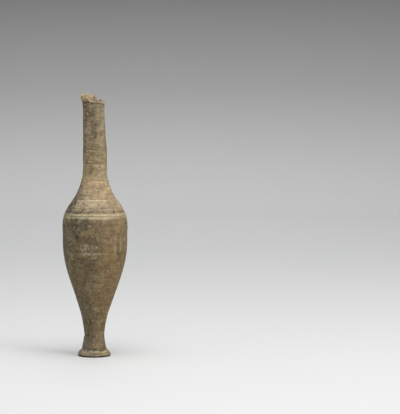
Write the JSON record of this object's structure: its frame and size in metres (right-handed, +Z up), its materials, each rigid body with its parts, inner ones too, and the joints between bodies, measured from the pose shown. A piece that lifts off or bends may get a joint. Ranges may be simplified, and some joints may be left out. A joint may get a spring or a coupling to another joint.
{
  "type": "terracotta unguentarium",
  "caption": "Slender spindle-shaped fired-clay perfume bottle standing on a small disc foot, hollow, with a tall narrow neck broken off just below its lost rim.",
  "frame": {"origin": "on the axis of the body, at the level of the flat underside of the foot", "axes": "+Z up along the body's axis, -Y towards the viewer of the picture, +X to the viewer's right"},
  "size_m": [0.0548, 0.0548, 0.2215],
  "materials": {
    "fired_clay": "matt, unglazed, weathered and lightly encrusted"
  },
  "bodies": {
    "root": {"unguentarium": "fired_clay"}
  },
  "joints": []
}
